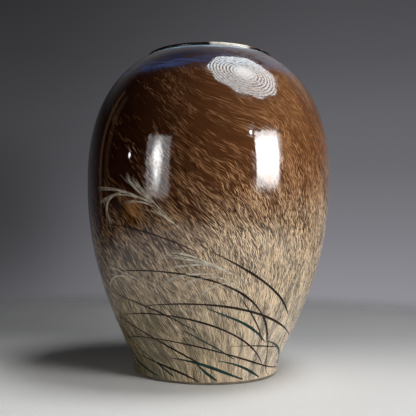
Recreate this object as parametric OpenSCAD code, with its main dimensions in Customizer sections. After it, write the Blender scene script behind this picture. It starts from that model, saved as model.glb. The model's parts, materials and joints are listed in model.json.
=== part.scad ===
// Stoneware vase: a tall ovoid pot on a low turned foot, closed in to a small rolled lip.
// One path runs up the outside, over the lip and down the inside to the middle of the floor.
// The clay parts fill the room behind that path, the glaze coats are the skin between the two,
// and brushed grass lies on the outer coats. Millimetres, +Z up. The origin is the centre of
// the face that the foot rests on.

/* [Outline] */
// Height from the resting face to the top of the lip
height = 300; // [270:1:330]
// Widest diameter, at the belly
belly_d = 231; // [215:1:250]
// Height of the belly, as a share of the whole height
belly_share = 0.617; // [0.58:0.005:0.65]
// Diameter of the foot where it stands
foot_d = 137; // [120:1:150]
// Outside diameter of the lip
lip_d = 122; // [112:1:130]
// Width of the lip, from the mouth to its outer edge
lip_w = 6.5; // [5.5:0.5:9]

/* [Wall] */
// Thickness of the fired wall, glazed on both faces
wall = 6.4; // [5:0.1:7]
// Thickness of each glaze coat
glaze = 0.8; // [0.5:0.1:1]
// Height of the floor inside, above the resting face
floor_z = 14; // [12:0.5:17]

/* [Foot] */
// Height of the hollow turned out under the foot
recess_h = 5; // [3:0.5:6]
// Width of the ring that the pot stands on
ring_w = 12; // [8:1:16]
// Height of the bare clay below the glaze
bare_h = 2.5; // [1.5:0.5:2.5]

/* [Grass] */
// Thickness of the brushed slip that the grass is drawn with
slip_h = 0.3; // [0.2:0.05:0.5]
// Widest part of a dark blade
blade_w = 1.6; // [1:0.1:2.4]
// Widest part of a green blade
green_w = 1.9; // [1:0.1:2.8]
// Width of the hairs of a seed head
hair_w = 0.7; // [0.5:0.1:1]

/* [Hidden] */
$fn = 144;

// ---- Outline -------------------------------------------------------------------------------

belly_r = belly_d / 2;
foot_r = foot_d / 2;
lip_r = lip_d / 2;
mouth_r = lip_r - lip_w;
belly_z = height * belly_share;

// The swell of the body starts here, above the upright wall of the foot.
swell_z = 25;
swell_r = foot_r + 7;
swell_slope = 64;
// The shoulder comes in under the lip at this slope.
shoulder_z = height - 3;
shoulder_slope = 26;

foot_steps = 8;
lower_steps = 32;
upper_steps = 36;
arc_steps = 7;
fillet_steps = 8;

// A point at distance d from p, in the direction of angle a
function polar(p, d, a) = p + d * [cos(a), sin(a)];

// The point at t, from 0 to 1, on the cubic curve with control points p
function cubic(p, t) =
    pow(1 - t, 3) * p[0] + 3 * pow(1 - t, 2) * t * p[1]
    + 3 * (1 - t) * t * t * p[2] + pow(t, 3) * p[3];

// The curve's points after its first one
function curve(p, steps) = [for (i = [1:steps]) cubic(p, i / steps)];

// Points of an arc, from angle a to angle b
function arc(centre, r, a, b) =
    [for (i = [0:arc_steps]) polar(centre, r, a + (b - a) * i / arc_steps)];

function reversed(pts) = [for (i = [len(pts) - 1:-1:0]) pts[i]];
function part(pts, from, to) = [for (i = [from:to]) pts[i]];

// Each point moved to the left of the way the path runs
function shifted(pts, d) = [
    for (i = [0:len(pts) - 1])
        let (
            ahead = pts[min(i + 1, len(pts) - 1)],
            behind = pts[max(i - 1, 0)],
            run = (ahead - behind) / norm(ahead - behind)
        )
        pts[i] + d * [-run[1], run[0]]
];

swell = [swell_r, swell_z];
belly = [belly_r, belly_z];
shoulder = [lip_r - 0.1, shoulder_z];

outside = concat(
    [[foot_r, 0], [foot_r, bare_h], [foot_r, recess_h]],
    curve([[foot_r, recess_h], [foot_r, recess_h + 8], polar(swell, -7, swell_slope), swell],
          foot_steps),
    curve([swell, polar(swell, 66, swell_slope), belly - [0, 60], belly], lower_steps),
    curve([belly, belly + [0, 78], polar(shoulder, 16, -shoulder_slope), shoulder], upper_steps)
);

// Numbers of the points where one part of the outside gives way to the next
bare_end = 1;
recess_end = 2;
swell_start = recess_end + foot_steps;
tan_end = swell_start + 21;
belly_at = swell_start + lower_steps;
blue_start = belly_at + 24;
outside_end = belly_at + upper_steps;
lip_start = outside_end - 3;

lip_outer_r = 2;
lip_inner_r = 3;
land_h = 5;
lip = concat(
    arc([lip_r - lip_outer_r, height - lip_outer_r], lip_outer_r, -20, 90),
    arc([mouth_r + lip_inner_r, height - lip_inner_r], lip_inner_r, 90, 180),
    [[mouth_r, height - lip_inner_r - land_h]]
);

// The inside follows the outside at the wall's thickness, down to the swell. The last two
// points below the lip are left out, because the mouth's land takes their place.
land_skip = 2;
inside = reversed(shifted(part(outside, swell_start, outside_end - land_skip), wall));
corner = inside[len(inside) - 1];
fillet_r = corner[1] - floor_z;
floor_edge = [corner[0] - 1.2 * fillet_r, floor_z];
bottom = concat(
    curve([corner, corner - [0.25, 0.6] * fillet_r, floor_edge + [0.6, 0] * fillet_r, floor_edge],
          fillet_steps),
    [[0, floor_z]]
);

// The glazed face from the foot's outer edge to the middle of the floor, and the clay under it
face = concat(outside, lip, inside, bottom);
clay = shifted(face, glaze);
land_end = outside_end + len(lip);
path_end = len(face) - 1;
// The point inside that faces point i of the outside
function facing(i) = land_end + 1 + (outside_end - land_skip) - i;

// ---- Clay ----------------------------------------------------------------------------------

module turned(outline) {
    rotate_extrude() polygon(outline);
}

// A piece of the wall between points a and b of the outside
module wall_section(a, b) {
    turned(concat(part(clay, a, b), part(clay, facing(b), facing(a))));
}

module foot_ring() {
    outer_r = clay[0][0];
    inner_r = foot_r - ring_w;
    chamfer = 0.7;
    color("#9c7f63")
    turned([
        [inner_r + chamfer, 0],
        [outer_r - chamfer, 0],
        [outer_r, chamfer],
        [outer_r, recess_h],
        [inner_r - 1, recess_h],
        [inner_r, chamfer]
    ]);
}

// The flat disc inside the foot
module base_floor() {
    edge = clay[path_end - 1];
    color("#a58a6d")
    turned([[0, recess_h], [edge[0], recess_h], edge, clay[path_end]]);
}

// The thick turn between the floor and the wall, above the foot ring
module heel() {
    color("#a88c6c")
    turned(concat(
        [[clay[path_end - 1][0], recess_h]],
        part(clay, recess_end, swell_start),
        part(clay, facing(swell_start), path_end - 1)
    ));
}

module lower_wall() {
    color("#a88c6c") wall_section(swell_start, belly_at);
}

module upper_wall() {
    color("#a3866a") wall_section(belly_at, lip_start);
}

module lip_ring() {
    color("#9a7e62") turned(part(clay, lip_start, facing(lip_start)));
}

// ---- Glaze ---------------------------------------------------------------------------------

// The skin of glaze between points a and b of the path
module coat(a, b) {
    turned(concat(part(face, a, b), reversed(part(clay, a, b))));
}

module tan_glaze() {
    color("#a59169") coat(bare_end, tan_end);
}

module brown_glaze() {
    color("#4a3022") coat(tan_end, blue_start);
}

module shoulder_glaze() {
    color("#3d4468") coat(blue_start, outside_end);
}

module lip_glaze() {
    color("#231a18") coat(outside_end, land_end);
}

module liner_glaze() {
    color("#33251e") coat(land_end, path_end);
}

// ---- Grass ---------------------------------------------------------------------------------

// A brush stroke runs through places [angle, z] on the outside. The angle is in degrees from the
// front, positive to the right. The heights are those of a pot 300 mm tall, and z scales.
grass_scale = height / 300;
outside_by_z = [for (p = outside) [p[1], p[0]]];

function on_pot(place) =
    let (z = place[1] * grass_scale, r = lookup(z, outside_by_z))
    [r * sin(place[0]), -r * cos(place[0]), z];

// The unit vector straight out from the outside at a place
function outward(place) =
    let (
        along = on_pot(place + [0, 0.5]) - on_pot(place - [0, 0.5]),
        around = [cos(place[0]), sin(place[0]), 0],
        out = cross(around, along)
    )
    out / norm(out);

// A place carried round the pot with its tuft
function carried(place, turn) = [place[0] + turn[0], place[1] * turn[1]];

// The lowest places stay just above the bare foot.
low_z = 3;
function kept_up(place) = [place[0], max(place[1], low_z)];

// The base of a stroke clears the coat under it by this much.
slip_gap = 0.03;
tip_share = 0.15;
// Rings of points along a stroke
ring_step = 5;
min_steps = 3;

// The share of the full width along a stroke: thin at the tip, where t is 0, full after the
// middle, and a little less at the root
function swelling(t) = tip_share + (1 - tip_share) * pow(sin(90 * min(1, 1.5 * t)), 0.8)
    * (1 - 0.45 * max(0, t - 0.7) / 0.3);

// A stroke of the brush, with a ridged section, through the control places of a cubic curve
module stroke(places, w, turn = [0, 1]) {
    moved = [for (p = places) carried(p, turn)];
    reach = norm(on_pot(moved[3]) - on_pot(moved[0]));
    steps = max(min_steps, round(reach / ring_step));
    rings = [
        for (i = [0:steps])
            let (
                t = i / steps,
                here = kept_up(cubic(moved, t)),
                ahead = kept_up(cubic(moved, min(1, t + 0.02))),
                behind = kept_up(cubic(moved, max(0, t - 0.02))),
                p = on_pot(here),
                out = outward(here),
                side = cross(out, on_pot(ahead) - on_pot(behind)),
                half = side / norm(side) * w * swelling(t) / 2
            )
            [p + out * slip_gap - half, p + out * slip_gap + half,
             p + out * (slip_gap + slip_h * swelling(t))]
    ];
    last = 3 * steps;
    polyhedron(
        points = [for (ring = rings) each ring],
        faces = concat(
            [[0, 1, 2], [last + 2, last + 1, last]],
            [for (i = [0:steps - 1], k = [0:2])
                let (a = 3 * i + k, b = 3 * i + (k + 1) % 3) [b, a, a + 3]],
            [for (i = [0:steps - 1], k = [0:2])
                let (a = 3 * i + k, b = 3 * i + (k + 1) % 3) [b, a + 3, b + 3]]
        )
    );
}

// The tuft is drawn at the front, and again twice round the back, where it leans the same way
// but stands at another height: [turn in degrees, height scale].
TUFTS = [[0, 1], [138, 0.9], [-137, 1.08]];

// Dark blades from tip to root: [share of the full width, control places]
DARK = [
    [0.55, [[-51, 137], [-34, 137], [-19, 128], [-5, 116]]],
    [1.00, [[2, 116], [21, 99], [42, 77], [51, 61]]],
    [0.80, [[-46, 97], [-19, 103], [23, 100], [40, 38]]],
    [1.00, [[-32, 69], [12, 80], [30, 63], [67, 39]]],
    [0.80, [[-52, 58], [-15, 70], [14, 55], [44, 16]]],
    [0.75, [[-62, 35], [-8, 54], [29, 11], [75, 7]]],
    [0.80, [[-60, 55], [-37, 45], [-18, 29], [2, 15]]],
    [0.90, [[-60, 22], [-41, 19], [-20, 12], [-5, 3]]],
    [0.65, [[-61, 78], [-39, 72], [-27, 68], [-6, 49]]],
    [0.55, [[15, 35], [30, 36], [44, 32], [58, 29]]],
    [0.60, [[15, 81], [23, 65], [30, 53], [36, 38]]],
    [0.60, [[31, 63], [39, 49], [45, 22], [54, 4]]]
];

// Green blades, in the same form
GREEN = [
    [1.00, [[0, 69], [15, 59], [22, 57], [38, 38]]],
    [0.65, [[-13, 49], [-3, 42], [9, 31], [19, 23]]],
    [1.30, [[-24, 23], [-3, 22], [7, 13], [28, 4]]],
    [1.00, [[-6, 19], [-2, 12], [3, 8], [8, 4]]],
    [1.00, [[8, 22], [21, 19], [31, 13], [43, 4]]],
    [0.90, [[-53, 32], [-45, 22], [-32, 12], [-24, 6]]],
    [1.00, [[-71, 14], [-59, 14], [-49, 7], [-38, 5]]],
    [0.90, [[38, 37], [49, 38], [64, 22], [80, 9]]]
];

// Seed heads: [stalk from tip to root, first and last place of the row where the hairs end]
HEADS = [
    [[[-36, 175], [-29, 168], [-20, 151], [-10, 131]], [[-42, 173], [-54, 147]]],
    [[[-17, 116], [-6, 114], [8, 101], [22, 89]], [[-31, 113], [-33, 97]]],
    [[[2, 98], [9, 94], [15, 86], [21, 79]], [[-10, 99], [-16, 80]]]
];
hairs = 7;

// A seed head: hairs leave the upper half of the stalk, arch over and droop to the left.
module seed_head(stalk, row, turn) {
    stroke(stalk, hair_w * 1.4, turn);
    for (i = [0:hairs - 1]) {
        share = i / (hairs - 1);
        root = cubic(stalk, 0.1 + 0.45 * share);
        droop = row[0] + (row[1] - row[0]) * share;
        tip = droop + [2.5 * sin(137 * i), 2 * cos(97 * i)];
        rise = [0, 5 + 3 * share];
        stroke([tip, tip + (root - tip) * 0.3 + rise, root + (tip - root) * 0.35 + rise, root],
               hair_w, turn);
    }
}

module dark_blades() {
    color("#2a1b12")
    for (turn = TUFTS, blade = DARK) stroke(blade[1], blade_w * blade[0], turn);
}

module green_blades() {
    color("#12352c")
    for (turn = TUFTS, blade = GREEN) stroke(blade[1], green_w * blade[0], turn);
}

module seed_heads() {
    color("#c9c3b2")
    for (turn = TUFTS, head = HEADS) seed_head(head[0], head[1], turn);
}

foot_ring();
base_floor();
heel();
lower_wall();
upper_wall();
lip_ring();
liner_glaze();
tan_glaze();
brown_glaze();
shoulder_glaze();
lip_glaze();
dark_blades();
green_blades();
seed_heads();
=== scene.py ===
"""A stoneware vase: its glazes, bare clay and brushed grass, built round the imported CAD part."""

import json
import math
import random

import bpy
import numpy as np
from mathutils import Matrix, Vector


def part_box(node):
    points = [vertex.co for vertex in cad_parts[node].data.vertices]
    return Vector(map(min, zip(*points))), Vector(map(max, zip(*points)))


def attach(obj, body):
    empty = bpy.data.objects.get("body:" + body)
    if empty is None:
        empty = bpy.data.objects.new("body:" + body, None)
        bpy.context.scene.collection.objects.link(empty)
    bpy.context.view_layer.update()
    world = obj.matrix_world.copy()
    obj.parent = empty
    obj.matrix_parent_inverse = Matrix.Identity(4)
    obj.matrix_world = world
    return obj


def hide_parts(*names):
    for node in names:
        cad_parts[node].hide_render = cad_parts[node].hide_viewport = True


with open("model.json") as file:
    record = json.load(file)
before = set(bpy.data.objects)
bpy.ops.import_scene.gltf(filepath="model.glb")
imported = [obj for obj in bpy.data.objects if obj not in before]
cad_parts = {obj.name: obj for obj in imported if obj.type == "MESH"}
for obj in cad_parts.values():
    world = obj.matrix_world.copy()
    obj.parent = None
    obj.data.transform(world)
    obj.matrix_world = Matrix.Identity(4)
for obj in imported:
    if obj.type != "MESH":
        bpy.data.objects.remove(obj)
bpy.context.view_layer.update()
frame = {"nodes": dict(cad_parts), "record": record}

MM = 0.001
TURN = 2 * math.pi

# ---- Sizes, from the frame -------------------------------------------------------------------

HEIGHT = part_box("lip_glaze")[1].z
LIP_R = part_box("lip_glaze")[1].x
BELLY_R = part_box("brown_glaze")[1].x
BELLY_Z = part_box("lower_wall")[1].z
GLAZE = BELLY_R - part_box("lower_wall")[1].x
WALL = BELLY_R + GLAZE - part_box("liner_glaze")[1].x
FLOOR_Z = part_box("liner_glaze")[0].z + GLAZE
FOOT_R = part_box("foot_ring")[1].x + GLAZE
RECESS_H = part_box("foot_ring")[1].z
BARE_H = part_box("tan_glaze")[0].z
TAN_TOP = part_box("tan_glaze")[1].z
BLUE_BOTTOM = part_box("shoulder_glaze")[0].z
MOUNTS = {m["name"]: m for m in frame["record"]["mounts"]}
MOUTH_R = MOUNTS["mouth"]["dims"]["r_mm"] * MM
LAND_H = MOUNTS["mouth"]["dims"]["length_mm"] * MM

# Where the outline's curves meet, their slopes in degrees and the lip's radii, as in the CAD source
SWELL = np.array([FOOT_R + 7 * MM, 25 * MM])
SWELL_SLOPE = 64
SHOULDER = np.array([LIP_R - 0.1 * MM, HEIGHT - 3 * MM])
SHOULDER_SLOPE = 26
LIP_OUTER_R = 2 * MM
LIP_INNER_R = 3 * MM

# The mesh of a turned piece: points in a ring, the distance between rings, and how many rings
# the lip's arcs and the floor have
SEGMENTS = 360
RING_STEP = 1.4 * MM
ARC_RINGS = 13
FLOOR_RINGS = 39
# The hidden side of a coat has one ring in this many, at this share of the glaze's thickness
BACK_EVERY = 3
BACK_SHARE = 0.85


# ---- Outline ---------------------------------------------------------------------------------

def cubic(points, t):
    """The points at t on the cubic curve with these control points."""
    t = np.atleast_1d(t)[:, None]
    p = [np.asarray(q, float) for q in points]
    return ((1 - t) ** 3 * p[0] + 3 * (1 - t) ** 2 * t * p[1]
            + 3 * (1 - t) * t * t * p[2] + t ** 3 * p[3])


def curve(points, step=RING_STEP):
    """The curve's points after its first one, about a step apart."""
    length = np.linalg.norm(np.diff(cubic(points, np.linspace(0, 1, 20)), axis=0), axis=1).sum()
    count = max(4, round(length / step))
    return cubic(points, np.linspace(0, 1, count + 1)[1:])


def polar(centre, radius, degrees):
    """The points at that distance and those directions from centre."""
    a = np.radians(degrees)
    return np.stack([centre[0] + radius * np.cos(a), centre[1] + radius * np.sin(a)], -1)


def normals(path):
    """The unit vectors to the left of the way a path runs."""
    run = np.gradient(path, axis=0)
    run /= np.linalg.norm(run, axis=1)[:, None]
    return np.stack([-run[:, 1], run[:, 0]], 1)


def shifted(path, distance):
    """The path moved to its left."""
    return path + distance * normals(path)


def outside_path():
    """The glazed outside, from the foot's edge to the lip. Its curves have the CAD source's
    handles."""
    swell, belly = SWELL, np.array([BELLY_R, BELLY_Z])
    foot_top = np.array([FOOT_R, RECESS_H])
    up = np.array([0, MM])
    return np.concatenate([
        [[FOOT_R, 0], [FOOT_R, BARE_H], foot_top],
        curve([foot_top, foot_top + 8 * up, polar(swell, -7 * MM, SWELL_SLOPE), swell]),
        curve([swell, polar(swell, 66 * MM, SWELL_SLOPE), belly - 60 * up, belly]),
        curve([belly, belly + 78 * up, polar(SHOULDER, 16 * MM, -SHOULDER_SLOPE), SHOULDER]),
    ])


def lip_path():
    """Over the lip, from the shoulder to the foot of the mouth's land."""
    outer = polar([LIP_R - LIP_OUTER_R, HEIGHT - LIP_OUTER_R], LIP_OUTER_R,
                  np.linspace(-20, 90, ARC_RINGS))
    inner = polar([MOUTH_R + LIP_INNER_R, HEIGHT - LIP_INNER_R], LIP_INNER_R,
                  np.linspace(90, 180, ARC_RINGS))
    land = [[MOUTH_R, HEIGHT - LIP_INNER_R - share * LAND_H] for share in (0.25, 0.5, 0.75, 1)]
    return np.concatenate([outer, inner, land])


def inside_path(outside):
    """Down the inside of the wall and over the floor to its middle. The bend between them has the
    CAD source's handles."""
    under_lip = HEIGHT - LIP_INNER_R - LAND_H
    wall = shifted(outside[outside[:, 1] >= SWELL[1]], WALL)
    wall = wall[wall[:, 1] < under_lip - 0.5 * MM][::-1]
    corner = wall[-1]
    fillet = corner[1] - FLOOR_Z
    floor_edge = np.array([corner[0] - 1.2 * fillet, FLOOR_Z])
    bend = curve([corner, corner - np.array([0.25, 0.6]) * fillet,
                  floor_edge + np.array([0.6, 0]) * fillet, floor_edge])
    radii = np.linspace(floor_edge[0], 0, FLOOR_RINGS + 1)[1:]
    return np.concatenate([wall, bend, np.stack([radii, np.full_like(radii, FLOOR_Z)], 1)])


OUTSIDE = outside_path()
LIP = lip_path()
INSIDE = inside_path(OUTSIDE)


# ---- Turned pieces ---------------------------------------------------------------------------

def linked(name, data):
    """A new object with that data, in the scene."""
    thing = bpy.data.objects.new(name, data)
    bpy.context.scene.collection.objects.link(thing)
    return thing


def hand_wobble(angle, z):
    """How far the thrown wall stands out from a true round, in metres. Most of it lies inside the
    round, which keeps the belly within the CAD model's box."""
    lean = 0.16 * np.cos(2 * angle + 0.7) + 0.08 * np.cos(3 * angle + 2.0) - 0.12
    wave = 0.05 * np.sin(z / MM / 17 + 0.8 * np.sin(angle)) + 0.03 * np.sin(z / MM / 7.3 + angle)
    fade = np.clip(z / (60 * MM), 0, 1) * np.clip((HEIGHT - z) / (20 * MM), 0, 1)
    return MM * (lean + wave) * fade


def finger_ridges(angle, z):
    """The spiral that a thrower's fingers leave on the inside."""
    pitch, depth = 8.5 * MM, 0.22 * MM
    turns = z / pitch - angle / TURN
    uneven = 0.7 + 0.3 * np.sin(z / MM / 23)
    return depth * uneven * np.sin(TURN * turns) + hand_wobble(angle, z)


def sweep(path, relief):
    """Rows of points round the axis, one row for each point of the path."""
    angle = np.linspace(0, TURN, SEGMENTS, endpoint=False)[None, :]
    r, z = path[:, 0][:, None], path[:, 1][:, None]
    out = np.where(r > MM, r + relief(angle, z), 0 * angle)
    return np.stack([out * np.sin(angle), -out * np.cos(angle), z + 0 * angle], -1)


def row_normals(rows):
    """Unit normals of a swept grid, from its neighbours along and across it."""
    along = np.gradient(rows, axis=0)
    around = np.roll(rows, -1, 1) - np.roll(rows, 1, 1)
    out = np.cross(around, along)
    return out / np.maximum(np.linalg.norm(out, axis=2), 1e-15)[..., None]


def ring_faces(grid, on_axis):
    """The faces between the rows of a closed sweep. A row on the axis is a single corner."""
    faces = []
    for i in range(len(grid)):
        j = (i + 1) % len(grid)
        if on_axis[i] and on_axis[j]:
            continue
        for k in range(SEGMENTS):
            m = (k + 1) % SEGMENTS
            corners = [grid[i, k], grid[i, m], grid[j, m], grid[j, k]]
            faces.append([c for n, c in enumerate(corners) if c != corners[n - 1]])
    return faces


def set_normals(mesh, wanted):
    """Gives a face its corners' wanted normals, unless one of them has none."""
    corners = np.empty(len(mesh.loops), int)
    mesh.loops.foreach_get("vertex_index", corners)
    starts = np.empty(len(mesh.polygons), int)
    mesh.polygons.foreach_get("loop_start", starts)
    given = wanted[corners]
    known = given.any(1)
    for start, end in zip(starts, np.append(starts[1:], len(corners))):
        if not known[start:end].all():
            given[start:end] = 0
    mesh.normals_split_custom_set(given.tolist())


def turned(name, face, back, relief, ahead, behind):
    """A turned solid between its seen path face and its hidden path back, which runs the same way.
    ahead and behind are the points on either side of face, for the normals at its ends."""
    closed = np.concatenate([face, back[::-1]])
    points = sweep(closed, relief).reshape(-1, 3)
    on_axis = closed[:, 0] < MM / 10
    grid = np.arange(len(points)).reshape(-1, SEGMENTS)
    grid[on_axis] = grid[on_axis][:, :1]
    used = np.unique(grid)
    number = np.full(len(points), -1)
    number[used] = np.arange(len(used))
    faces = [number[f].tolist() for f in ring_faces(grid, on_axis)]
    mesh = bpy.data.meshes.new(name)
    mesh.from_pydata(points[used].tolist(), [], faces)
    mesh.shade_smooth()

    seen = row_normals(sweep(np.concatenate([ahead, face, behind]), relief))
    seen = seen[len(ahead):len(ahead) + len(face)].reshape(-1, 3)
    wanted = np.zeros_like(points)
    wanted[:len(seen)] = seen
    set_normals(mesh, wanted[used])
    return linked(name, mesh)


def coat(name, path, first, last, relief=hand_wobble, crease=None):
    """The skin of glaze over the path's points from first to last. The path bends sharply at the
    crease, and its normals aren't smoothed across it."""
    face = path[first:last + 1]
    back = shifted(path, BACK_SHARE * GLAZE)[first:last + 1]
    kept = np.unique(np.append(np.arange(0, len(back), BACK_EVERY), len(back) - 1))
    ahead, behind = path[max(first - 1, 0):first], path[last + 1:last + 2]
    if first == crease:
        ahead = 2 * path[first:first + 1] - path[first + 1:first + 2]
    if last == crease:
        behind = 2 * path[last:last + 1] - path[last - 1:last]
    return turned(name, face, back[kept], relief, ahead, behind)


def nearest(path, z):
    """The number of the path's point that is nearest to height z."""
    return int(np.abs(path[:, 1] - z).argmin())


# ---- Brushwork -------------------------------------------------------------------------------

# Strokes run from tip to root through places (degrees from the front, positive to the right;
# height in mm). The tufts (turn in degrees, height scale) and the blades (share of the full
# width, places) are those of the CAD source.
TUFTS = [(0, 1.0), (138, 0.9), (-137, 1.08)]
DARK = [
    (0.55, [(-51, 137), (-34, 137), (-19, 128), (-5, 116)]),
    (1.00, [(2, 116), (21, 99), (42, 77), (51, 61)]),
    (0.80, [(-46, 97), (-19, 103), (23, 100), (40, 38)]),
    (1.00, [(-32, 69), (12, 80), (30, 63), (67, 39)]),
    (0.80, [(-52, 58), (-15, 70), (14, 55), (44, 16)]),
    (0.75, [(-62, 35), (-8, 54), (29, 11), (75, 7)]),
    (0.80, [(-60, 55), (-37, 45), (-18, 29), (2, 15)]),
    (0.90, [(-60, 22), (-41, 19), (-20, 12), (-5, 3)]),
    (0.65, [(-61, 78), (-39, 72), (-27, 68), (-6, 49)]),
    (0.55, [(15, 35), (30, 36), (44, 32), (58, 29)]),
    (0.60, [(15, 81), (23, 65), (30, 53), (36, 38)]),
    (0.60, [(31, 63), (39, 49), (45, 22), (54, 4)]),
]
GREEN = [
    (1.00, [(0, 69), (15, 59), (22, 57), (38, 38)]),
    (0.65, [(-13, 49), (-3, 42), (9, 31), (19, 23)]),
    (1.30, [(-24, 23), (-3, 22), (7, 13), (28, 4)]),
    (1.00, [(-6, 19), (-2, 12), (3, 8), (8, 4)]),
    (1.00, [(8, 22), (21, 19), (31, 13), (43, 4)]),
    (0.90, [(-53, 32), (-45, 22), (-32, 12), (-24, 6)]),
    (1.00, [(-71, 14), (-59, 14), (-49, 7), (-38, 5)]),
    (0.90, [(38, 37), (49, 38), (64, 22), (80, 9)]),
]
# A seed head is (stalk, the wisps of hairs that leave it).
HEADS = [
    ([(-36, 175), (-29, 168), (-20, 151), (-10, 131)], [
        [(-33, 175), (-30, 170), (-28, 165), (-23, 155)],
        [(-36, 178), (-35, 172), (-31, 166), (-24, 156)],
        [(-55, 168), (-42, 168), (-33, 163), (-24, 155)],
        [(-53, 155), (-47, 164), (-36, 164), (-25, 157)],
        [(-37, 154), (-32, 157), (-28, 156), (-23, 152)],
        [(-48, 138), (-51, 151), (-50, 160), (-38, 164)],
        [(-24, 151), (-20, 147), (-17, 143), (-12, 135)],
    ]),
    ([(-17, 116), (-6, 114), (8, 101), (22, 89)], [
        [(-17, 116), (-12, 115), (-5, 112), (3, 105)],
        [(-22, 112), (-13, 112), (-5, 109), (4, 104)],
        [(-19, 101), (-12, 104), (-6, 106), (3, 105)],
        [(-8, 108), (-2, 108), (4, 104), (10, 98)],
    ]),
    ([(2, 98), (9, 94), (15, 86), (21, 79)], [
        [(-13, 85), (-6, 95), (2, 97), (11, 93)],
        [(-5, 77), (0, 86), (6, 92), (13, 90)],
        [(-20, 88), (-14, 97), (-5, 98), (3, 98)],
    ]),
    ([(-62, 91), (-50, 97), (-36, 93), (-23, 76)], [
        [(-60, 82), (-54, 92), (-47, 95), (-38, 92)],
        [(-57, 99), (-50, 100), (-43, 97), (-35, 91)],
    ]),
]
WISP_HAIRS = 9
# How far the hairs of a wisp stray from it, in degrees and in mm, from tip to root
WISP_STRAY = (1.5, 1.0, 0.6, 0.4)
DARK_W = 2.7 * MM
GREEN_W = 2.9 * MM
HAIR_W = 0.45 * MM
# A stroke stands this high on the glaze, and its underside is sunk a little into it
SLIP_H = 0.12 * MM
SUNK = 0.06 * MM
# The lowest place that a stroke reaches, in mm
LOW_Z = 3.0
# The width of a stroke's tip, as a share of its full width
TIP_SHARE = 0.3


def on_pot(places):
    """Points on the glazed outside at places (degrees, mm)."""
    places = np.atleast_2d(places)
    angle, z = np.radians(places[:, 0]), places[:, 1] * MM
    r = np.interp(z, OUTSIDE[:, 1], OUTSIDE[:, 0]) + hand_wobble(angle, z)
    return np.stack([r * np.sin(angle), -r * np.cos(angle), z], 1)


def outward(places):
    """Unit vectors straight out of the pot at places."""
    rise = on_pot(places + [0, 0.6]) - on_pot(places - [0, 0.6])
    round_it = on_pot(places + [0.5, 0]) - on_pot(places - [0.5, 0])
    out = np.cross(round_it, rise)
    return out / np.linalg.norm(out, axis=1)[:, None]


def swelling(t):
    """The share of the full width along a stroke: thin at the tip, where t is 0, full after the
    middle, and less again at the root."""
    share = TIP_SHARE + (1 - TIP_SHARE) * np.sin(np.pi / 2 * np.minimum(1, 1.5 * t)) ** 0.8
    return share * (1 - 0.5 * np.clip((t - 0.7) / 0.3, 0, 1))


class Brush:
    """Gathers strokes into one mesh."""

    def __init__(self, seed):
        self.points, self.faces = [], []
        self.random = random.Random(seed)

    def stroke(self, places, width, turn, step=1.6 * MM):
        """A raised stroke along a cubic curve, carried round the pot with its tuft."""
        moved = [(p[0] + turn[0], p[1] * turn[1]) for p in places]
        reach = np.linalg.norm(np.diff(on_pot(np.array(moved)), axis=0), axis=1).sum()
        count = max(5, round(reach / step))
        t = np.linspace(0, 1, count + 1)
        line = cubic(moved, t)
        line[:, 1] = np.maximum(line[:, 1], LOW_Z)
        centre, out = on_pot(line), outward(line)
        side = np.cross(out, np.gradient(centre, axis=0))
        side /= np.maximum(np.linalg.norm(side, axis=1), 1e-12)[:, None]
        phase = self.random.uniform(0, TURN)
        swell = swelling(t) * (1 + 0.10 * np.sin(t * reach / (9 * MM) + phase))
        half = (width / 2 * swell)[:, None]
        crown = (SLIP_H * np.minimum(1, swell + 0.2))[:, None]
        rows = np.stack([
            centre - side * half - out * SUNK,
            centre + side * half - out * SUNK,
            centre + side * half * 0.5 + out * crown,
            centre - side * half * 0.5 + out * crown,
        ], 1)
        base = len(self.points)
        self.points += rows.reshape(-1, 3).tolist()
        for i in range(count):
            for k in range(4):
                a, b = base + 4 * i + k, base + 4 * i + (k + 1) % 4
                self.faces.append((a, b, b + 4, a + 4))
        last = base + 4 * count
        self.faces += [(base + 3, base + 2, base + 1, base),
                       (last, last + 1, last + 2, last + 3)]

    def piece(self, name):
        mesh = bpy.data.meshes.new(name)
        mesh.from_pydata(self.points, [], self.faces)
        mesh.shade_smooth()
        return linked(name, mesh)


def blades(name, strokes, width, seed):
    """The blades of every tuft, in one piece."""
    brush = Brush(seed)
    for turn in TUFTS:
        for share, places in strokes:
            brush.stroke(places, width * share, turn)
    return brush.piece(name)


def seed_heads(name, seed):
    """Stalks and wisps. A wisp is a few hairs that part towards their tips."""
    brush = Brush(seed)
    for turn in TUFTS:
        for stalk, wisps in HEADS:
            brush.stroke(stalk, HAIR_W * 1.4, turn)
            for wisp in wisps:
                for _ in range(WISP_HAIRS):
                    hair = []
                    for place, stray in zip(wisp, WISP_STRAY):
                        shift = [brush.random.gauss(0, stray), brush.random.gauss(0, stray)]
                        hair.append(tuple(np.array(place) + shift))
                    width = HAIR_W * brush.random.uniform(0.5, 1.1)
                    brush.stroke(hair, width, turn, step=2 * MM)
    return brush.piece(name)


# ---- Material tools --------------------------------------------------------------------------

# The left and right sides of the pot are counted from this far left of its front, in radians
SIDES_FROM = 0.15
# The radius of the cylinder that streaks are drawn on
HELIX_R = 0.1


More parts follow.
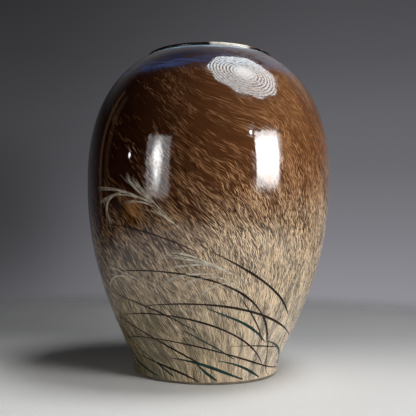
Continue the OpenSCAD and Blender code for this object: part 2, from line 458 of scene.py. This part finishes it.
class Nodes:
    """A tree of nodes. Most methods add a node and return what it gives out."""

    def __init__(self, tree):
        self.tree = tree

    def feed(self, socket, value):
        """Links a socket to another one, or sets its value."""
        if isinstance(value, bpy.types.NodeSocket):
            self.tree.links.new(value, socket)
        else:
            socket.default_value = value

    def add(self, kind, *values):
        """A new node of that kind, with its first sockets fed."""
        node = self.tree.nodes.new(kind)
        for socket, value in zip(node.inputs, values):
            self.feed(socket, value)
        return node

    def math(self, operation, *values):
        node = self.add("ShaderNodeMath", *values)
        node.operation = operation
        return node.outputs[0]

    def sum(self, *values):
        total = values[0]
        for value in values[1:]:
            total = self.math("ADD", total, value)
        return total

    def times(self, *values):
        total = values[0]
        for value in values[1:]:
            total = self.math("MULTIPLY", total, value)
        return total

    def ramp(self, value, start, end, low=0.0, high=1.0):
        """Smoothly from low at start to high at end."""
        node = self.add("ShaderNodeMapRange", value, start, end, low, high)
        node.interpolation_type = "SMOOTHSTEP"
        return node.outputs[0]

    def mix(self, share, a, b):
        """Colour a where share is 0 and b where it is 1."""
        node = self.tree.nodes.new("ShaderNodeMix")
        node.data_type = "RGBA"
        node.clamp_factor = True
        self.feed(node.inputs["Factor"], share)
        for name, value in (("A", a), ("B", b)):
            socket = [s for s in node.inputs if s.name == name and s.type == "RGBA"][0]
            self.feed(socket, (*value, 1.0) if isinstance(value, tuple) else value)
        return [s for s in node.outputs if s.type == "RGBA"][0]

    def vector(self, x, y, z):
        return self.add("ShaderNodeCombineXYZ", x, y, z).outputs[0]

    def parts(self, vector):
        return self.add("ShaderNodeSeparateXYZ", vector).outputs

    def length(self, x, y):
        return self.math("SQRT", self.sum(self.times(x, x), self.times(y, y)))

    def distance(self, a, b):
        node = self.add("ShaderNodeVectorMath", a, b)
        node.operation = "DISTANCE"
        return node.outputs["Value"]

    def noise(self, vector, scale, detail=2.0, roughness=0.5):
        node = self.tree.nodes.new("ShaderNodeTexNoise")
        self.feed(node.inputs["Vector"], vector)
        self.feed(node.inputs["Scale"], scale)
        self.feed(node.inputs["Detail"], detail)
        self.feed(node.inputs["Roughness"], roughness)
        return node.outputs[0]


class Shade(Nodes):
    """The nodes of one material."""

    def __init__(self, name):
        self.material = bpy.data.materials.new(name)
        self.material.use_nodes = True
        super().__init__(self.material.node_tree)
        self.shader = self.tree.nodes["Principled BSDF"]
        self.place = self.add("ShaderNodeTexCoord").outputs["Object"]
        self.x, self.y, self.z = self.parts(self.place)

    def turns(self):
        """The share of a turn round the axis from the front, from -0.5 to 0.5."""
        return self.times(self.math("ARCTAN2", self.x, self.times(self.y, -1.0)), 1 / TURN)

    def sides(self):
        """From -1 at the left of the pot to 1 at its right."""
        return self.math("SINE", self.sum(self.times(self.turns(), TURN), SIDES_FROM))

    def surface(self, output):
        """Makes output what the material shows, instead of its own shader."""
        self.feed(self.tree.nodes["Material Output"].inputs["Surface"], output)

    def finish(self, colour, roughness, height, depth, specular=0.5):
        """The material, with bumps of that depth where height is 1."""
        bump = self.tree.nodes.new("ShaderNodeBump")
        bump.inputs["Distance"].default_value = depth
        self.feed(bump.inputs["Height"], height)
        self.feed(self.shader.inputs["Base Color"], colour)
        self.feed(self.shader.inputs["Roughness"], roughness)
        self.feed(self.shader.inputs["Normal"], bump.outputs[0])
        self.feed(self.shader.inputs["Specular IOR Level"], specular)
        return self.material


def helix(shade, turns, stretch):
    """Coordinates on a cylinder that is squeezed along its axis, in which a noise draws streaks
    that run along it. Where turns changes with the height, the streaks lean."""
    angle = shade.times(turns, TURN)
    return shade.vector(
        shade.times(shade.math("COSINE", angle), HELIX_R),
        shade.times(shade.math("SINE", angle), HELIX_R),
        shade.times(shade.z, stretch),
    )


def dashes(shade, turns, climb, slim, density, count, lean, length, width, seed):
    """Short tapered hairs in count columns round the pot, which lean by so many turns a metre.
    climb measures their length and slim scales their width. density is the share of places that
    hold a hair. Gives a mask, and a random number a hair."""
    across = shade.times(shade.sum(turns, shade.times(shade.z, lean)), count)
    column = shade.math("FLOOR", across)
    # Columns are counted from a positive number, because MODULO keeps the sign
    wrapped = shade.math("MODULO", shade.sum(column, 20.0 * count), float(count))
    offset = shade.add("ShaderNodeTexWhiteNoise", shade.vector(wrapped, seed, 0.5)).outputs["Value"]
    along = shade.sum(shade.times(climb, 1 / length), shade.times(offset, 17.0))
    cell = shade.math("FLOOR", along)
    draw = shade.add("ShaderNodeTexWhiteNoise", shade.vector(wrapped, cell, seed + 0.5))
    luck = shade.add("ShaderNodeSeparateColor", draw.outputs["Color"]).outputs
    shown = shade.ramp(shade.math("SUBTRACT", density, luck[0]), -0.02, 0.06)
    taper = shade.math("SINE", shade.times(shade.math("FRACT", along), math.pi))
    half = shade.times(taper, shade.sum(0.45, shade.times(luck[1], 0.55)), slim, width / 2)
    middle = shade.sum(0.5, shade.times(shade.sum(luck[2], -0.5), 1 - width))
    away = shade.math("ABSOLUTE", shade.math("SUBTRACT", shade.math("FRACT", across), middle))
    inside = shade.math("SUBTRACT", half, away)
    return shade.times(shade.ramp(inside, -0.03, 0.07), shown), luck[1]


# ---- Materials -------------------------------------------------------------------------------

DEEP_BROWN = (0.016, 0.0030, 0.0006)
WARM_BROWN = (0.130, 0.050, 0.018)
BARK = (0.050, 0.020, 0.010)
GOLD_HAIR = (0.44, 0.225, 0.100)
TAN_HAIR = (0.78, 0.582, 0.368)
SAND = (0.50, 0.43, 0.33)
TAN = (0.365, 0.292, 0.186)
KHAKI = (0.215, 0.178, 0.090)
UMBER = (0.032, 0.013, 0.006)
HAZE = (0.13, 0.096, 0.070)
MAUVE = (0.150, 0.113, 0.092)
AMBER = (0.22, 0.080, 0.010)
SLATE = (0.020, 0.020, 0.036)
INDIGO = (0.050, 0.070, 0.17)
GREY_MAUVE = (0.10, 0.085, 0.105)
ICE = (0.26, 0.42, 0.57)
LIP_BLACK = (0.008, 0.006, 0.006)
LIP_RUST = (0.20, 0.08, 0.035)
# The painted highlight on the front of the lip
LIP_HIGHLIGHT = (0.60, 0.56, 0.49)
LINER_DARK = (0.035, 0.018, 0.011)
LINER_LIGHT = (0.11, 0.062, 0.036)
LINER_SPECK = (0.20, 0.13, 0.08)
# Slips: (where it is thin, where it is thick)
DARK_SLIP = ((0.020, 0.010, 0.006), (0.007, 0.004, 0.003))
GREEN_SLIP = ((0.016, 0.050, 0.040), (0.005, 0.018, 0.015))
PALE_SLIP = ((0.27, 0.225, 0.165), (0.62, 0.570, 0.465))
# Clays: (dark, light, specks)
BARE_CLAY = ((0.10, 0.076, 0.052), (0.17, 0.130, 0.090), (0.04, 0.028, 0.020))
BODY_CLAY = ((0.36, 0.26, 0.17), (0.46, 0.35, 0.24), (0.12, 0.07, 0.04))

# The change from tan to brown: its height at the front, how much higher it is on the right, how
# far it wanders, and its width
CHANGE_Z = 128 * MM
CHANGE_TILT = 28 * MM
CHANGE_STRAY = 35 * MM
CHANGE_W = 26 * MM

# Where a layer of hairs starts and where it is full, from -1 at the left to 1 at the right
EVERYWHERE = (-2.0, -1.5)
ON_THE_RIGHT = (-0.1, 0.6)
FAR_RIGHT = (0.1, 0.7)
# Layers of hairs: (columns round the pot, lean beyond the common one in turns a metre, length,
# share of its column that a hair takes, where). The dark layers lie over the first pale ones.
PALE_HAIRS = [
    (450, 0.15, 14 * MM, 0.42, EVERYWHERE),
    (540, -0.45, 11 * MM, 0.42, EVERYWHERE),
    (480, 0.70, 10 * MM, 0.40, EVERYWHERE),
    (430, -0.60, 17 * MM, 0.42, ON_THE_RIGHT),
    (580, 0.00, 9 * MM, 0.44, EVERYWHERE),
    (490, -0.15, 15 * MM, 0.40, EVERYWHERE),
]
PALE_UNDER = 3
DARK_HAIRS = [
    (410, 0.15, 13 * MM, 0.44, EVERYWHERE),
    (480, -0.25, 9 * MM, 0.44, EVERYWHERE),
    (440, -0.55, 11 * MM, 0.42, FAR_RIGHT),
    (520, 0.30, 10 * MM, 0.46, EVERYWHERE),
]


def spot(shade, degrees, z, radius):
    """1 at a place on the outside, fading to 0 at that radius."""
    r = float(np.interp(z, OUTSIDE[:, 1], OUTSIDE[:, 0]))
    a = math.radians(degrees)
    away = shade.distance(shade.place, (r * math.sin(a), -r * math.cos(a), z))
    return shade.ramp(away, radius, 0.25 * radius)


class OutsideGlaze(Shade):
    """The outside glaze, with the fields that its colours share."""

    def __init__(self):
        super().__init__("outside_glaze")
        self.side = self.sides()
        self.cloud = self.noise(self.place, 22.0, 3.0)
        self.comb = self.combed()
        self.short_streak = self.streak(0.16, 620.0, 2.0, 0.6)
        self.clump = self.sum(self.streak(0.35, 95.0, 2.0), -0.5)
        # How far a place lies above the change from tan to brown, in widths of the change
        change = self.sum(CHANGE_Z, self.times(self.side, CHANGE_TILT),
                          self.times(self.sum(self.cloud, -0.5), CHANGE_STRAY))
        self.above = self.times(self.math("SUBTRACT", self.z, change), 1 / CHANGE_W)

    def combed(self):
        """The share of a turn, twisted so that it stays the same along a hair. The hairs waver,
        lie flatter the higher they are, and are steeper on the right."""
        wavers = [self.times(self.sum(self.noise(self.place, scale, detail), -0.5), reach)
                  for scale, detail, reach in ((14.0, 2.0, 0.020), (32.0, 1.0, 0.014),
                                               (90.0, 1.0, 0.0042))]
        upright = self.times(self.ramp(self.side, 0.0, 0.9), self.sum(self.z, -0.13), -0.75)
        return self.sum(self.turns(), *wavers, self.times(self.z, 0.75),
                        self.times(self.z, self.z, 1.8), upright)

    def streak(self, stretch, *noise):
        """A noise that is drawn out along the hairs."""
        return self.noise(helix(self, self.comb, stretch), *noise)


def broken_brown(s):
    """The brown and the tan, which break into each other along the hairs, with a haze and smudges
    where they change and one amber spot."""
    long_streak = s.streak(0.10, 190.0, 3.0, 0.6)
    ragged = s.sum(s.above, s.times(s.sum(long_streak, -0.5), 4.5), s.times(s.clump, 3.0))
    brown_share = s.ramp(ragged, -2.9, 0.2)
    right = s.ramp(s.sum(s.side, s.times(s.sum(s.short_streak, -0.5), 0.9)), -0.70, 1.10)
    brown = s.mix(right, DEEP_BROWN, WARM_BROWN)

    tan = s.mix(s.ramp(s.sum(s.side, s.times(s.cloud, 0.8)), -0.4, 0.9), KHAKI, TAN)
    tan = s.mix(s.times(s.ramp(s.side, 0.30, 0.75), s.ramp(s.z, 0.100, 0.030)), tan, SAND)
    tan = s.mix(s.ramp(s.short_streak, 0.46, 0.62, 0.0, 0.42), tan, UMBER)
    patch = s.times(s.ramp(s.streak(0.30, 62.0, 2.0), 0.50, 0.62), s.ramp(s.z, 0.015, 0.045))
    tan = s.mix(s.times(patch, 0.30), tan, UMBER)

    base = s.mix(brown_share, tan, brown)
    haze = s.times(s.ramp(s.above, -2.2, -0.8), s.ramp(s.above, 0.9, -0.4),
                   s.ramp(s.side, 0.2, -0.6))
    base = s.mix(s.times(haze, 0.20), base, HAZE)
    smudge = s.times(s.ramp(s.streak(0.45, 70.0, 2.0), 0.54, 0.68),
                     s.ramp(s.above, -3.2, -1.2), s.ramp(s.above, 1.8, 0.6))
    base = s.mix(s.times(smudge, 0.45), base, MAUVE)
    glow = s.times(spot(s, -33, 148 * MM, 19 * MM), s.ramp(s.short_streak, 0.40, 0.62))
    return s.mix(glow, base, AMBER)


def brushed_hairs(s, colour):
    """Pale and dark hairs, densest about the change and finer towards the top. Gives the colour
    with the hairs on it, and 1 where a pale hair stands up."""
    climb = s.sum(s.z, s.times(s.z, s.z, 3.0))
    slim = s.ramp(s.z, 0.10, 0.24, 1.0, 0.72)
    pale_share = s.sum(s.ramp(s.side, -0.8, 0.6, 0.0, 0.32), s.ramp(s.above, 2.6, -0.4, 0.0, 0.36),
                       s.ramp(s.above, -1.2, -3.6, 0.0, -0.30),
                       s.times(s.clump, s.ramp(s.side, -0.9, -0.2, 0.4, 1.8)))
    dark_share = s.sum(s.ramp(s.above, -4.6, -1.6, 0.32, 0.86),
                       s.ramp(s.side, -0.6, 0.3, -0.20, 0.10), s.times(s.clump, -3.0))
    pale = (pale_share, s.ramp(s.above, 4.5, 0.5, 0.58, 1.00),
            s.mix(s.ramp(s.above, 2.0, -1.0), GOLD_HAIR, TAN_HAIR))
    dark = (dark_share, s.ramp(s.above, 2.5, -0.6, 0.35, 1.00), UMBER)
    layers = [(hairs, pale) for hairs in PALE_HAIRS[:PALE_UNDER]]
    layers += [(hairs, dark) for hairs in DARK_HAIRS]
    layers += [(hairs, pale) for hairs in PALE_HAIRS[PALE_UNDER:]]
    relief = 0.0
    for number, (hairs, (density, strength, tone)) in enumerate(layers):
        count, lean, length, width, where = hairs
        here = s.times(density, s.ramp(s.side, *where))
        mask, luck = dashes(s, s.comb, climb, slim, here, count, lean, length, width, 3.0 + number)
        strength = s.times(strength, s.sum(0.6, s.times(luck, 0.5)))
        colour = s.mix(s.times(mask, strength), colour, tone)
        if tone is not UMBER:
            relief = s.math("MAXIMUM", relief, mask)
    return colour, relief


def blue_run(s, colour):
    """The blue that ran down from the lip, over the colour below it."""
    run = s.noise(s.vector(s.x, s.y, s.times(s.z, 0.35)), 130.0, 3.0, 0.6)
    level = s.sum(s.z, s.times(s.sum(run, -0.5), 0.008), s.times(s.side, -0.004))
    flat = s.vector(s.times(s.x, 0.3), s.times(s.y, 0.3), s.times(s.z, 2.0))
    wave = s.noise(flat, 150.0, 4.0, 0.65)
    from_edge = s.math("ABSOLUTE", s.sum(level, 23.5 * MM - HEIGHT))
    bright = s.times(s.ramp(wave, 0.42, 0.60), s.ramp(from_edge, 8.5 * MM, 1.0 * MM),
                     s.ramp(s.side, 0.30, -0.35, 0.10, 1.0))
    blue = s.mix(s.ramp(s.side, -0.2, 0.75), SLATE, GREY_MAUVE)
    blue = s.mix(bright, blue, INDIGO)
    blue = s.mix(s.times(s.ramp(wave, 0.54, 0.42), s.ramp(run, 0.36, 0.56), 0.85), blue, BARK)
    ice_level = s.sum(s.z, s.times(s.sum(run, -0.5), 0.004))
    under_lip = s.ramp(ice_level, HEIGHT - 6.6 * MM, HEIGHT - 4.6 * MM)
    blue = s.mix(s.times(under_lip, 0.85), blue, ICE)
    blue = s.mix(s.ramp(s.z, HEIGHT - 4.0 * MM, HEIGHT - 3.4 * MM), blue, LIP_BLACK)
    return s.mix(s.ramp(level, HEIGHT - 35.0 * MM, HEIGHT - 24.5 * MM), colour, blue)


def outside_glaze():
    """Brown that breaks into tan under layers of brushed hairs, and the blue run at the top."""
    s = OutsideGlaze()
    colour, relief = brushed_hairs(s, broken_brown(s))
    colour = blue_run(s, colour)
    # Fine scratches run round the pot and break up what it mirrors
    scratch = s.noise(s.vector(s.times(s.x, 0.12), s.times(s.y, 0.12), s.z), 1500.0, 2.0, 0.6)
    scuffed = s.times(s.ramp(scratch, 0.52, 0.66), s.ramp(s.cloud, 0.30, 0.62))
    rough = s.sum(s.ramp(s.above, -2.5, 1.5, 0.26, 0.035), s.times(relief, 0.03),
                  s.times(scuffed, 0.02), s.ramp(s.z, HEIGHT - 6 * MM, HEIGHT - 3 * MM, 0.0, 0.35))
    grain = s.noise(s.place, 1100.0, 2.0)
    height = s.sum(s.times(relief, 0.4), s.times(s.short_streak, 0.6), s.times(grain, 0.35),
                   s.times(scratch, 0.5))
    return s.finish(colour, rough, height, 0.016 * MM, 0.75)


def speckled(name, dark, light, speck, roughness, grain_depth):
    """Fired clay: clouded, with iron specks and a fine grain."""
    s = Shade(name)
    cloud = s.noise(s.place, 90.0, 4.0, 0.6)
    grain = s.noise(s.place, 1260.0, 3.0, 0.6)
    colour = s.mix(s.ramp(cloud, 0.35, 0.65), dark, light)
    specks = s.ramp(s.noise(s.place, 810.0, 1.0), 0.68, 0.76)
    colour = s.mix(specks, colour, speck)
    rough = s.sum(roughness, s.times(s.sum(grain, -0.5), 0.15))
    return s.finish(colour, rough, grain, grain_depth)


def lip_material():
    """Near-black glaze that breaks to rusty brown where it is thin over the lip, with one stretch
    at the front painted pale as a highlight.
    """
    s = Shade("lip_glaze_black")
    cloud = s.noise(s.place, 160.0, 4.0, 0.65)
    crown = s.ramp(s.z, HEIGHT - 1.6 * MM, HEIGHT - 0.2 * MM)
    rusty = s.ramp(s.sides(), 0.1, 0.7, 0.12, 1.0)
    worn = s.times(s.ramp(cloud, 0.45, 0.60), s.sum(0.3, s.times(crown, 0.7)), rusty)
    colour = s.mix(worn, LIP_BLACK, LIP_RUST)
    # A painted highlight: one stretch at the front is painted pale, standing in for the dome
    # overhead mirrored in the lip
    turns = s.sum(s.turns(), s.times(s.sum(cloud, -0.5), 0.012))
    painted_highlight = s.times(s.ramp(turns, -0.004, 0.006), s.ramp(turns, 0.104, 0.088),
                     s.ramp(cloud, 0.30, 0.42, 0.6, 1.0))
    colour = s.mix(painted_highlight, colour, LIP_HIGHLIGHT)
    return s.finish(colour, s.ramp(cloud, 0.3, 0.7, 0.18, 0.30), cloud, 0.02 * MM, 0.22)


def slip(name, thin, thick):
    """Brushed slip: its colour pools and breaks, and the brush leaves fine ridges."""
    s = Shade(name)
    pool = s.noise(s.place, 240.0, 3.0, 0.6)
    drag = s.noise(helix(s, s.sum(s.turns(), s.times(s.z, 1.6)), 0.2), 900.0, 2.0)
    share = s.sum(s.times(pool, 0.6), s.times(drag, 0.4))
    colour = s.mix(s.ramp(share, 0.38, 0.62), thin, thick)
    return s.finish(colour, s.ramp(pool, 0.3, 0.7, 0.16, 0.26), drag, 0.02 * MM, 0.15)


def liner_material():
    """The dark glaze inside, clouded in level bands, with specks."""
    s = Shade("liner_glaze_brown")
    cloud = s.noise(s.vector(s.x, s.y, s.times(s.z, 3.0)), 40.0, 4.0, 0.6)
    specks = s.ramp(s.noise(s.place, 600.0, 1.0), 0.66, 0.74)
    colour = s.mix(s.ramp(cloud, 0.3, 0.7), LINER_DARK, LINER_LIGHT)
    colour = s.mix(specks, colour, LINER_SPECK)
    return s.finish(colour, s.ramp(cloud, 0.3, 0.7, 0.10, 0.2), cloud, 0.06 * MM)


def dress(piece, material, slot, *nodes):
    """Gives a new piece its material and its place in the frame, instead of the nodes."""
    piece.data.materials.append(material)
    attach(piece, "root")
    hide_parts(*nodes)


def redress(node, material):
    """Gives a CAD node that stays its material."""
    for slot in frame["nodes"][node].material_slots:
        slot.material = material


def make_coats():
    """The five glazes, end to end along one path."""
    glaze = outside_glaze()
    whole = np.concatenate([OUTSIDE, LIP, INSIDE])
    tan_bottom, tan_top = nearest(OUTSIDE, BARE_H), nearest(OUTSIDE, TAN_TOP)
    blue_bottom, top = nearest(OUTSIDE, BLUE_BOTTOM), len(OUTSIDE) - 1
    land_end = top + len(LIP)
    dress(coat("tan_coat", whole, tan_bottom, tan_top), glaze, "tan_glaze", "tan_glaze")
    dress(coat("brown_coat", whole, tan_top, blue_bottom), glaze, "brown_glaze", "brown_glaze")
    dress(coat("blue_coat", whole, blue_bottom, top, crease=top), glaze, "blue_glaze",
          "shoulder_glaze")
    dress(coat("lip_coat", whole, top, land_end, crease=top), lip_material(), "lip_glaze",
          "lip_glaze")
    dress(coat("liner_coat", whole, land_end, len(whole) - 1, finger_ridges), liner_material(),
          "liner_glaze", "liner_glaze")


def make_grass():
    """The brushed slip, in a piece for each colour."""
    dress(blades("dark_blades_slip", DARK, DARK_W, seed=5), slip("dark_slip", *DARK_SLIP),
          "dark_slip", "dark_blades")
    dress(blades("green_blades_slip", GREEN, GREEN_W, seed=7), slip("green_slip", *GREEN_SLIP),
          "green_slip", "green_blades")
    dress(seed_heads("seed_heads_slip", seed=11), slip("pale_slip", *PALE_SLIP),
          "pale_slip", "seed_heads")


def make_clay():
    """The CAD nodes that stay: bare clay at the foot, and the body under the glazes."""
    bare = speckled("bare_clay", *BARE_CLAY, 0.75, 0.12 * MM)
    body = speckled("clay_body", *BODY_CLAY, 0.80, 0.10 * MM)
    for node in ("foot_ring", "base_floor"):
        redress(node, bare)
    for node in ("heel", "lower_wall", "upper_wall", "lip_ring"):
        redress(node, body)


# ---- Studio ----------------------------------------------------------------------------------

# The camera stands where the photograph was taken from
CAMERA_AT = Vector((0, -0.64, 0.1348))
CAMERA_PITCH = math.radians(1.76)
CAMERA_ROLL = math.radians(0.78)
LENS_MM = 57.22

# The lights aim at the middle of the pot, unless they hang over it
POT_MIDDLE = (0, 0, 0.18)
KEY_AT = (0.83, -0.64, 0.39)
# The dome overhead, and the distance between the rings of its baffle
DOME_SIDES = 8
DOME_R = 0.455
DOME_RING = 0.040
ORANGE = (1.0, 0.60, 0.30)
COOL = (0.93, 1, 1.03)

FLOOR_R = 0.85
FLOOR_SIDES = 96
# The greys of the room, from straight down (0) to straight up (1)
ROOM_GREYS = [(0.0, 0.20), (0.40, 0.27), (0.455, 0.272), (0.50, 0.20), (0.545, 0.145),
              (0.585, 0.125), (0.625, 0.090), (0.67, 0.066), (1.0, 0.03)]
# The direction of the darkest place behind the pot
DARKEST = (-0.33, 0.944, 0.0)


def make_camera():
    data = bpy.data.cameras.new("camera")
    data.lens = LENS_MM
    camera = linked("camera", data)
    camera.matrix_world = (Matrix.Translation(CAMERA_AT)
                           @ Matrix.Rotation(math.pi / 2 + CAMERA_PITCH, 4, "X")
                           @ Matrix.Rotation(CAMERA_ROLL, 4, "Z"))
    bpy.context.scene.camera = camera


def facing(at, target):
    """The matrix that puts a panel at a place and turns its -Z towards the target."""
    direction = Vector(target) - Vector(at)
    return Matrix.Translation(at) @ direction.to_track_quat("-Z", "Y").to_matrix().to_4x4()


def panel(name, at, target, width, height, radiance, colour=(1, 1, 1), shines=True, lights=True):
    """A plain rectangular soft light with that radiance. It is mirrored only if it shines, and
    brightens dull surfaces only if it lights."""
    data = bpy.data.lights.new(name, "AREA")
    data.shape = "RECTANGLE"
    data.size, data.size_y = width, height
    data.energy = radiance * width * height * math.pi
    data.color = colour
    light = linked(name, data)
    light.matrix_world = facing(at, target)
    light.visible_glossy = shines
    light.visible_diffuse = lights


def flat_mesh(name, outline):
    """A mesh with one face in the plane z = 0. outline lists its corners in metres."""
    mesh = bpy.data.meshes.new(name)
    mesh.from_pydata([(x, y, 0) for x, y in outline], [], [list(range(len(outline)))])
    return mesh


def regular(radius, sides, first=0.0):
    """The corners of a regular polygon. first is its first corner's place, in sides."""
    turns = [(k + first) / sides for k in range(sides)]
    return [(radius * math.cos(TURN * t), radius * math.sin(TURN * t)) for t in turns]


def rectangle(width, height):
    return [(x * width / 2, y * height / 2) for x, y in ((-1, -1), (1, -1), (1, 1), (-1, 1))]


def glowing(name, at, target, outline, strength, colour=(1, 1, 1)):
    """A flat panel that is only mirrored. strength makes its glow from its material's nodes."""
    mesh = flat_mesh(name, outline)
    piece = linked(name, mesh)
    piece.matrix_world = facing(at, target)
    shade = Shade(name)
    shade.surface(shade.add("ShaderNodeEmission", (*colour, 1), strength(shade)).outputs[0])
    mesh.materials.append(shade.material)
    piece.visible_camera = False
    piece.visible_diffuse = False
    piece.visible_shadow = False


def cloth(shade, width, height):
    """How much light comes through woven cloth with frayed edges."""
    weave = shade.noise(shade.vector(shade.times(shade.x, 0.35), shade.y, 0.0), 60.0, 3.0, 0.7)
    across = shade.math("SUBTRACT", width / 2, shade.math("ABSOLUTE", shade.x))
    down = shade.math("SUBTRACT", height / 2, shade.math("ABSOLUTE", shade.y))
    inside = shade.sum(shade.math("MINIMUM", across, down),
                       shade.times(shade.sum(weave, -0.55), 0.12))
    return shade.times(shade.ramp(inside, 0.0, 0.012), shade.ramp(weave, 0.38, 0.62, 0.30, 1.15))


def key_glow(shade):
    """Bright in the middle, thinner towards the top and bottom."""
    middle = shade.ramp(shade.math("ABSOLUTE", shade.y), 0.20, 0.10, 0.25, 1.0)
    return shade.times(shade.sum(8.0, shade.times(middle, 26.0)), cloth(shade, 0.42, 0.46))


def fill_glow(shade):
    """A tube behind thin cloth: bright in the middle, dim at the edges."""
    away = shade.length(shade.times(shade.sum(shade.x, 0.01), 1 / 0.10),
                        shade.times(shade.sum(shade.y, -0.01), 1 / 0.20))
    return shade.times(shade.sum(2.6, shade.ramp(away, 1.2, 0.1, 0.0, 24.0)),
                       cloth(shade, 0.42, 0.47))


def dome_glow(shade):
    """Even in the middle, with the rings of its baffle towards the rim."""
    away = shade.length(shade.x, shade.y)
    rings = shade.math("SINE", shade.times(away, TURN / DOME_RING))
    gaps = shade.times(shade.ramp(away, 0.05, 0.18, 0.0, 0.95), shade.ramp(rings, -0.3, 0.6))
    return shade.times(9.0, shade.math("SUBTRACT", 1.0, gaps))


def make_lights():
    """Most lamps that the glaze mirrors are apart from the ones that light it, so that each can be
    set alone."""
    glowing("key_window", KEY_AT, POT_MIDDLE, rectangle(0.43, 0.47), key_glow)
    panel("key", KEY_AT, POT_MIDDLE, 0.41, 0.43, 17, shines=False)
    glowing("fill_window", (-0.72, -0.757, 0.33), POT_MIDDLE, rectangle(0.43, 0.48), fill_glow)
    panel("fill", (-0.52, -0.90, 0.14), POT_MIDDLE, 0.45, 0.46, 2.6, shines=False)
    glowing("overhead_dome", (0.38, -0.13, 1.13), (0, 0, 0.27),
            regular(DOME_R, DOME_SIDES, 0.5), dome_glow, COOL)
    panel("overhead", (0.30, -0.10, 1.15), (0, 0, 0), 0.34, 0.34, 19, shines=False)
    panel("lamp_left", (-1.012, -0.322, 0.36), POT_MIDDLE, 0.022, 0.035, 45, lights=False)
    panel("lamp_right", (0.63, -0.814, 0.61), POT_MIDDLE, 0.026, 0.032, 95, lights=False)
    panel("strip_far", (-0.95, 0.40, 0.40), POT_MIDDLE, 0.08, 1.0, 0.15, ORANGE)
    panel("strip_near", (-1.02, 0.22, 0.40), POT_MIDDLE, 0.12, 1.0, 0.08, ORANGE)


def make_floor():
    """A sweep of paper that fades into the grey round it. Its colour holds painted light and shade:
    pale in front and grey at the back, where less light reaches it, paler on the left in front and
    darker on the left at the back.
    """
    mesh = flat_mesh("floor", regular(FLOOR_R, FLOOR_SIDES))
    s = Shade("floor")
    paper = s.noise(s.place, 700.0, 3.0)
    # Painted light and shade: paler in front than at the back, and lighter or darker from left to
    # right
    near = s.mix(s.ramp(s.x, -0.20, 0.25), (0.90, 0.90, 0.895), (0.68, 0.68, 0.675))
    far = s.mix(s.ramp(s.x, -0.25, 0.15), (0.29, 0.29, 0.295), (0.40, 0.40, 0.405))
    sheet = s.mix(s.ramp(s.y, -0.10, 0.24), near, far)
    sheet = s.mix(s.ramp(paper, 0.3, 0.7, 0.0, 0.08), sheet, (0.2, 0.2, 0.2))
    s.finish(sheet, 0.7, paper, 0.05 * MM)
    clear = s.add("ShaderNodeBsdfTransparent").outputs[0]
    gone = s.ramp(s.length(s.x, s.y), 0.45, 0.80)
    s.surface(s.add("ShaderNodeMixShader", gone, s.shader.outputs[0], clear).outputs[0])
    mesh.materials.append(s.material)
    linked("floor", mesh)


def make_world():
    """A grey studio, lighter towards the floor. It is darker on the left of the front view, where
    the pot's shadow falls, and what the glaze mirrors of the room in front is darker still. It
    lights no dull surface."""
    world = bpy.data.worlds.new("studio")
    bpy.context.scene.world = world
    world.use_nodes = True
    world.cycles_visibility.diffuse = False
    w = Nodes(world.node_tree)
    direction = w.add("ShaderNodeTexCoord").outputs["Generated"]
    x, y, z = w.parts(direction)
    greys = w.add("ShaderNodeValToRGB", w.times(w.sum(z, 1.0), 0.5))
    line = greys.color_ramp
    for number, (place, grey) in enumerate(ROOM_GREYS):
        stop = line.elements[0] if number == 0 else line.elements.new(place)
        stop.position, stop.color = place, (grey * 1.01, grey, grey * 1.10, 1)
    line.elements.remove(line.elements[-1])
    shadow = w.ramp(w.distance(direction, DARKEST), 0.03, 0.17, 0.60, 1.0)
    strength = w.times(w.ramp(x, -0.34, 0.20, 0.40, 1.0), shadow)
    seen = w.add("ShaderNodeLightPath").outputs["Is Camera Ray"]
    behind_pot = w.ramp(y, 0.35, 0.9, 0.03, 1.0)
    back = w.tree.nodes["Background"]
    w.feed(back.inputs["Color"], greys.outputs[0])
    w.feed(back.inputs["Strength"], w.times(strength, w.math("MAXIMUM", seen, behind_pot)))


make_camera()
make_coats()
make_grass()
make_clay()
make_lights()
make_floor()
make_world()
bpy.context.scene.view_settings.view_transform = "Standard"
